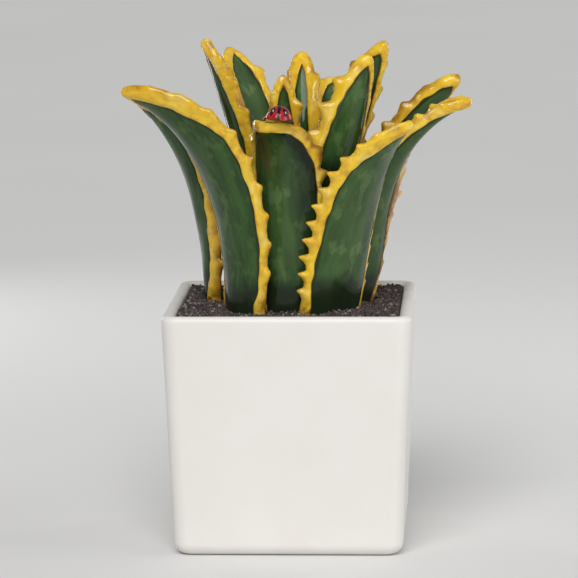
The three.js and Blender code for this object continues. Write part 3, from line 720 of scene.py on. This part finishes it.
def build_ladybird():
    """Two red wing covers over one black body with a head, six legs and four spots, each with a painted glint."""
    build_wing("left_wing_cover", -1, "ladybird_left_wing")
    build_wing("right_wing_cover", 1, "ladybird_right_wing")
    a, b, h = LADYBIRD["width"] / 2, LADYBIRD["length"] / 2, LADYBIRD["height"]
    plate, head = LADYBIRD["plate"], LADYBIRD["head_at"]
    belly = ball((0, 0, plate), (a * 0.93, b * 0.95, h - 1.0), 24, 40)
    keel = ball((0, 0, 0), (1.7, b * 0.985, h + 0.04), 40, 40)
    neck = ball((0, head - 1.2, 1.9), (3.0, 1.9, 2.0))
    face = ball((0, head + 0.5, 1.5), (1.8, 1.5, 1.5))
    parts = [belly, keel, neck, face]
    for points, _ in parts:
        low = points[:, 2] < plate
        points[low, 2] = plate + 0.16 * (points[low, 2] - plate)
    dabs = [np.zeros(len(points)) for points, _ in parts]
    for x, y in LADYBIRD["spots"]:
        for side in (-1, 1):
            parts.append(spot_patch(side * x, y))
            # A pale painted glint, a highlight fixed in the paint, a little off the middle of each spot.
            flat = parts[-1][0][:, :2] - (side * x + 0.2, y - 0.35)
            dabs.append(1 - np.linalg.norm(flat * (1.0, 0.7), axis=1) / 0.42)
    for side in (-1, 1):
        for y, back in LADYBIRD["legs"]:
            parts.append(leg((side * 3.4, y, plate), (side * 5.4, y + back * 0.6, 1.1), (side * 5.9, y + back, -0.3)))
            dabs.append(np.zeros(len(parts[-1][0])))
    firsts = np.cumsum([0] + [len(points) for points, _ in parts])
    points = np.concatenate([points for points, _ in parts])
    faces = np.concatenate([faces + first for (_, faces), first in zip(parts, firsts)])
    piece("black_bug_body", perched(points), faces, "ladybird_black", ["ladybird_body"],
          dab=np.clip(np.concatenate(dabs), 0, 1))


# Materials

def tint(red, green, blue):
    """A colour as painters name it, 0 to 255, in the linear values that a shader takes."""
    values = np.array([red, green, blue]) / 255
    return (*np.where(values <= 0.04045, values / 12.92, ((values + 0.055) / 1.055) ** 2.4).tolist(), 1.0)


def feed(tree, node, inputs):
    """Sets inputs of a shader node, each to a number, a colour or the output of another node."""
    for key, value in inputs.items():
        if isinstance(value, bpy.types.NodeSocket):
            tree.links.new(value, node.inputs[key])
        else:
            node.inputs[key].default_value = value


def add(tree, kind, inputs, **settings):
    """A new shader node with its settings and inputs."""
    made = tree.nodes.new(kind)
    for key, value in settings.items():
        setattr(made, key, value)
    feed(tree, made, inputs)
    return made


def noise(tree, vector, scale, detail, roughness):
    return add(tree, "ShaderNodeTexNoise",
               {"Vector": vector, "Scale": scale, "Detail": detail, "Roughness": roughness}).outputs["Fac"]


def stretched(tree, vector, scale):
    return add(tree, "ShaderNodeMapping", {"Vector": vector, "Scale": scale}).outputs["Vector"]


def step(tree, value, low, high, start=0.0, stop=1.0):
    return add(tree, "ShaderNodeMapRange", {"Value": value, "From Min": low, "From Max": high, "To Min": start,
                                            "To Max": stop}, interpolation_type="SMOOTHSTEP").outputs["Result"]


def blend(tree, share, first, second):
    """The first colour turning into the second as share goes from 0 to 1."""
    return add(tree, "ShaderNodeMix", {0: share, 6: first, 7: second}, data_type="RGBA").outputs[2]


def layered(tree, colour, layers):
    """A colour under thin coats: each has a mask, a strength for it and its own colour."""
    for mask, strength, coat in layers:
        colour = blend(tree, maths(tree, "MULTIPLY", mask, strength), colour, tint(*coat))
    return colour


def maths(tree, operation, first, second=0.0):
    return add(tree, "ShaderNodeMath", {0: first, 1: second}, operation=operation).outputs[0]


def attribute(tree, name):
    """A number that a piece carries at its points."""
    return add(tree, "ShaderNodeAttribute", {}, attribute_name=name).outputs["Fac"]


def new_group(name, inputs, outputs):
    """A node group, its own input and output nodes; every output is a number."""
    group = bpy.data.node_groups.new(name, "ShaderNodeTree")
    for label, kind in inputs:
        group.interface.new_socket(label, in_out="INPUT", socket_type=kind)
    for label in outputs:
        group.interface.new_socket(label, in_out="OUTPUT", socket_type="NodeSocketFloat")
    return group, group.nodes.new("NodeGroupInput"), group.nodes.new("NodeGroupOutput")


def brush_group():
    """Brushwork along a leaf: broad strokes, fine bristle streaks and round blots, each from 0 to 1."""
    group, inside, outside = new_group("brushwork", [("Surface", "NodeSocketVector")], ["Stroke", "Bristle", "Blot"])
    surface = inside.outputs["Surface"]
    wander = noise(group, stretched(group, surface, (0.6, 0.35, 1)), 1.0, 2.0, 0.55)
    sideways = add(group, "ShaderNodeCombineXYZ", {"X": maths(group, "MULTIPLY", wander, 0.9)}).outputs[0]
    bent = add(group, "ShaderNodeVectorMath", {0: surface, 1: sideways}).outputs[0]
    for name, over, scale, roughness, low, high in (
        ("Stroke", bent, (1.7, 0.42, 1), 0.55, 0.4, 0.62),
        ("Bristle", bent, (9.0, 0.8, 1), 0.6, 0.36, 0.64),
        ("Blot", surface, (1.5, 0.95, 1), 0.6, 0.52, 0.68),
    ):
        marks = noise(group, stretched(group, over, scale), 1.0, 3.0, roughness)
        feed(group, outside, {name: step(group, marks, low, high)})
    return group


def speckle_group():
    """Small dark pits and soft mottling of a fired glaze, from Object coordinates."""
    inputs = [("Place", "NodeSocketVector"), ("Pit Size", "NodeSocketFloat")]
    group, inside, outside = new_group("fired_glaze", inputs, ["Pits", "Mottle"])
    place = inside.outputs["Place"]
    cells = add(group, "ShaderNodeTexVoronoi", {"Vector": place, "Scale": 520.0, "Randomness": 1.0})
    pits = maths(group, "LESS_THAN", cells.outputs["Distance"], inside.outputs["Pit Size"])
    draw = add(group, "ShaderNodeSeparateColor", {"Color": cells.outputs["Color"]}).outputs["Red"]
    rare = maths(group, "GREATER_THAN", draw, 0.95)
    mottle = step(group, noise(group, place, 38.0, 4.0, 0.6), 0.35, 0.68)
    feed(group, outside, {"Pits": maths(group, "MULTIPLY", pits, rare), "Mottle": mottle})
    return group


def new_material(name):
    """A material, its nodes, its shader and the Object coordinates."""
    material = bpy.data.materials.new(name)
    material.use_nodes = True
    tree = material.node_tree
    place = tree.nodes.new("ShaderNodeTexCoord").outputs["Object"]
    return material, tree, tree.nodes["Principled BSDF"], place


def bumped(tree, height, strength, distance):
    """A relief from a height between 0 and 1; distance is in metres."""
    inputs = {"Strength": strength, "Distance": distance, "Height": height}
    return add(tree, "ShaderNodeBump", inputs).outputs["Normal"]


def finish_glaze(tree, shader, colour, roughness, height, bump, coat, coat_roughness):
    """Colour, roughness and relief into a shader under a clear coat."""
    feed(tree, shader, {"Base Color": colour, "Roughness": roughness, "Normal": bumped(tree, height, bump, 0.0004),
                        "Specular IOR Level": 0.0 if coat else 0.3, "Coat Weight": coat,
                        "Coat Roughness": coat_roughness})


def brush_marks(tree, brush):
    """Stroke, bristle and blot of the brushwork over a leaf's own surface."""
    surface = tree.nodes.new("ShaderNodeTexCoord").outputs["UV"]
    marks = add(tree, "ShaderNodeGroup", {"Surface": surface}, node_tree=brush)
    return [marks.outputs[name] for name in ("Stroke", "Bristle", "Blot")]


def total(tree, *parts):
    """The sum of two numbers, each times its own share."""
    return maths(tree, "ADD", *(maths(tree, "MULTIPLY", number, share) for number, share in parts))


def tall(tree, place):
    """The height in metres."""
    return add(tree, "ShaderNodeSeparateXYZ", {"Vector": place}).outputs["Z"]


def blade_material(brush):
    """Dark green brushed on in long strokes, lighter where the brush ran dry, with a pale middle that is
    partly painted sheen, one side darker, painted shade low on the inner leaves and a dark outline.
    """
    material, tree, shader, place = new_material("green_glaze")
    stroke, bristle, blot = brush_marks(tree, brush)
    # The pale middle: partly brushwork, partly painted sheen.
    pale = maths(tree, "MULTIPLY", attribute(tree, "pale"), step(tree, blot, 0.0, 0.8, 0.4, 1.0))
    # Darker along one side, and painted shade low down on the inner leaves.
    dusk = maths(tree, "MULTIPLY", attribute(tree, "dusk"), step(tree, stroke, 0.0, 1.0, 1.0, 0.75))
    wavy = total(tree, (noise(tree, place, 90.0, 2.0, 0.5), 0.016), (tall(tree, place), 1.0))
    colour = blend(tree, stroke, tint(44, 72, 34), tint(60, 92, 44))
    colour = layered(tree, colour, (
        (blot, 0.5, (88, 118, 62)),
        (bristle, 0.2, (26, 48, 24)),
        (pale, 1.0, (104, 128, 82)),
        (dusk, 1.0, (24, 32, 22)),
        (step(tree, wavy, 0.113, 0.121, 1.0, 0.0), 0.88, (25, 32, 22)),
        (attribute(tree, "corner"), 1.0, (104, 92, 46)),
        (step(tree, attribute(tree, "line"), 0.2, 1.0, 1.0, 0.0), 0.7, (34, 34, 16)),
    ))
    rough = step(tree, bristle, 0.0, 1.0, 0.3, 0.46)
    height = total(tree, (bristle, 0.35), (stroke, 0.65))
    finish_glaze(tree, shader, colour, rough, height, 0.22, 0.55, 0.04)
    return material


def margin_material(brush):
    """Golden yellow with ochre patches and cream painted highlights, brown toothed edges, painted shade that
    browns some arms and lies beside the green, and a brown inner line.
    """
    material, tree, shader, place = new_material("yellow_glaze")
    stroke, bristle, blot = brush_marks(tree, brush)
    patch = step(tree, noise(tree, place, 210.0, 3.0, 0.6), 0.45, 0.7)
    # Brown in patches along the toothed edge.
    toothed_edge_brown = maths(tree, "MULTIPLY", step(tree, attribute(tree, "rim"), 0.1, 1.4, 1.0, 0.0),
                 step(tree, noise(tree, place, 120.0, 3.0, 0.6), 0.42, 0.66))
    # Painted shade carried by the rim's brown numbers, broken up by noise.
    brown = maths(tree, "MULTIPLY", attribute(tree, "brown"),
                  step(tree, noise(tree, place, 95.0, 3.0, 0.6), 0.3, 0.6, 0.2, 1.0))
    line = attribute(tree, "line")
    # Painted shade: darker ochre in patches within two millimetres of the green, where the bead rises.
    shade = maths(tree, "MULTIPLY", step(tree, line, 0.3, 2.0, 1.0, 0.0), patch)
    foot = maths(tree, "MULTIPLY", step(tree, tall(tree, place), 0.0975, 0.104, 1.0, 0.0),
                 step(tree, patch, 0.0, 1.0, 0.4, 1.0))
    colour = blend(tree, stroke, tint(246, 206, 52), tint(234, 190, 40))
    colour = layered(tree, colour, (
        (patch, 0.65, (208, 152, 36)),
        # Cream painted highlights, strewn in blots.
        (blot, 0.5, (252, 232, 132)),
        (bristle, 0.2, (206, 156, 44)),
        (toothed_edge_brown, 0.75, (150, 92, 24)),
        (maths(tree, "MINIMUM", brown, 1.0), 1.0, (142, 92, 34)),
        (shade, 0.5, (176, 120, 36)),
        (step(tree, line, 0.1, 0.6, 1.0, 0.0), 0.75, (62, 52, 20)),
        (foot, 0.9, (84, 50, 24)),
    ))
    rough = step(tree, patch, 0.0, 1.0, 0.3, 0.42)
    height = total(tree, (bristle, 0.3), (patch, 0.7))
    finish_glaze(tree, shader, colour, rough, height, 0.25, 0.9, 0.08)
    return material


def pot_material(speckle):
    """Off-white gloss glaze, faintly mottled, with a few small pits."""
    material, tree, shader, place = new_material("off_white_glaze")
    marks = add(tree, "ShaderNodeGroup", {"Place": place, "Pit Size": 0.16}, node_tree=speckle)
    colour = blend(tree, marks.outputs["Mottle"], tint(232, 229, 224), tint(230, 226, 220))
    colour = layered(tree, colour, [(marks.outputs["Pits"], 0.1, (170, 160, 148))])
    height = maths(tree, "SUBTRACT", marks.outputs["Mottle"], marks.outputs["Pits"])
    finish_glaze(tree, shader, colour, 0.4, height, 0.05, 0.4, 0.2)
    return material


def soil_material():
    """Dark brown-black grit; a tone for each grain picks out greys, browns and a few pale specks."""
    material, tree, shader, place = new_material("dark_grit")
    tone = attribute(tree, "tone")
    fine = noise(tree, place, 900.0, 4.0, 0.65)
    colour = blend(tree, step(tree, fine, 0.35, 0.7), tint(45, 37, 37), tint(92, 79, 78))
    colour = layered(tree, colour, ((step(tree, tone, 0.45, 0.8), 0.7, (104, 89, 84)),
                                    (step(tree, tone, 0.87, 0.9), 1.0, (142, 132, 126))))
    feed(tree, shader, {"Base Color": colour, "Roughness": 0.85, "Normal": bumped(tree, fine, 0.6, 0.0003)})
    return material


def stem_material():
    """Bare olive-brown body where the leaves start."""
    material, tree, shader, place = new_material("stem_body")
    grain = noise(tree, place, 300.0, 4.0, 0.6)
    colour = blend(tree, step(tree, grain, 0.35, 0.65), tint(58, 52, 30), tint(92, 88, 48))
    finish_glaze(tree, shader, colour, 0.7, grain, 0.4, 0.0, 0.1)
    return material


def shell_material(name, dark, light, dab=None):
    """Gloss enamel of the ladybird, unevenly thick over its relief, with a pale painted glint on each spot."""
    material, tree, shader, place = new_material(name)
    uneven = noise(tree, place, 420.0, 3.0, 0.5)
    colour = blend(tree, step(tree, uneven, 0.35, 0.65), tint(*dark), tint(*light))
    if dab:
        colour = layered(tree, colour, [(step(tree, attribute(tree, "dab"), 0.25, 0.6), 1.0, dab)])
    finish_glaze(tree, shader, colour, 0.3, uneven, 0.12, 1.0, 0.05)
    return material


def floor_material():
    """Plain pale studio floor."""
    material, tree, shader, place = new_material("studio_floor")
    colour = blend(tree, noise(tree, place, 3.0, 2.0, 0.5), tint(222, 221, 219), tint(228, 227, 225))
    feed(tree, shader, {"Base Color": colour, "Roughness": 0.9})
    return material


# Studio

def aimed(way):
    """The turn of a light that shines along a way."""
    return Vector(way).to_track_quat("-Z", "Y").to_euler()


def area_light(name, place, size, power):
    """A rectangular light that shines at the middle of the pot and the plant."""
    light = bpy.data.lights.new(name, "AREA")
    light.shape = "RECTANGLE"
    light.size, light.size_y = size
    light.energy = power
    made = linked(name, light)
    made.location = place
    made.rotation_euler = aimed(Vector((0, 0, 0.13)) - Vector(place))


def build_studio():
    """A pale floor under a wide soft sun, two fills in front and a tall softbox on each side."""
    size = 8.0
    mesh = bpy.data.meshes.new("floor")
    mesh.from_pydata([(-size, -size, 0), (size, -size, 0), (size, size, 0), (-size, size, 0)], [], [(0, 1, 2, 3)])
    mesh.materials.append(floor_material())
    floor = linked("floor", mesh)
    world = bpy.data.worlds.new("studio")
    bpy.context.scene.world = world
    world.use_nodes = True
    background = world.node_tree.nodes["Background"]
    feed(world.node_tree, background, {"Color": (0.95, 0.97, 1.0, 1.0), "Strength": 0.26})
    sun = bpy.data.lights.new("sky_window", "SUN")
    sun.energy = 2.05
    sun.angle = math.radians(40)
    linked("sky_window", sun).rotation_euler = aimed((0.1, 1.0, -1.02))
    for name, light in LIGHTS.items():
        area_light(name, **light)


def build_camera():
    """The camera looks at the target along yaw and pitch, then rolls about its own line of sight."""
    yaw, pitch = math.radians(CAMERA["yaw"]), math.radians(CAMERA["pitch"])
    right = Vector((math.cos(yaw), math.sin(yaw), 0))
    back = Vector((math.sin(yaw) * math.cos(pitch), -math.cos(yaw) * math.cos(pitch), math.sin(pitch)))
    up = back.cross(right)
    turn = Matrix((right, up, back)).transposed().to_4x4()
    data = bpy.data.cameras.new("camera")
    data.sensor_width = 36
    data.lens = CAMERA["lens"]
    data.clip_start, data.clip_end = 0.1, 20
    camera = linked("camera", data)
    place = Vector(CAMERA["target"]) * MM + back * CAMERA["distance"] * MM
    camera.matrix_world = Matrix.Translation(place) @ turn @ Matrix.Rotation(-math.radians(CAMERA["roll"]), 4, "Z")
    bpy.context.scene.camera = camera


BRUSH = brush_group()
SPECKLE = speckle_group()
MATERIALS = {
    "blade": blade_material(BRUSH),
    "margin": margin_material(BRUSH),
    "pot": pot_material(SPECKLE),
    "soil": soil_material(),
    "stem": stem_material(),
    "ladybird_red": shell_material("red_enamel", (146, 20, 38), (192, 32, 40)),
    # The last colour is the spots' painted glint.
    "ladybird_black": shell_material("black_enamel", (12, 9, 9), (26, 20, 20), (226, 214, 206)),
}
LEAVES = {
    name: {**COMMON, **own, "curl": CURL.get(name, (0, 0)), "calm_tip": 0.3 if name in OUTER_LEAVES else 0.1}
    for name, own in {**OUTER_LEAVES, **INNER_LEAVES}.items()
}

bpy.context.scene.view_settings.view_transform = "Standard"
build_camera()
build_studio()
build_pot()
build_soil()
build_grains()
for number, (name, leaf) in enumerate(LEAVES.items()):
    level = OUTER_FOOT if name in OUTER_LEAVES else INNER_FOOT
    build_blade(name, leaf, level, 100 + 13 * number)
    build_margin(name, leaf, level, 400 + 17 * number)
build_ladybird()
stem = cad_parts["stem"]
stem.data.materials.clear()
stem.data.materials.append(MATERIALS["stem"])
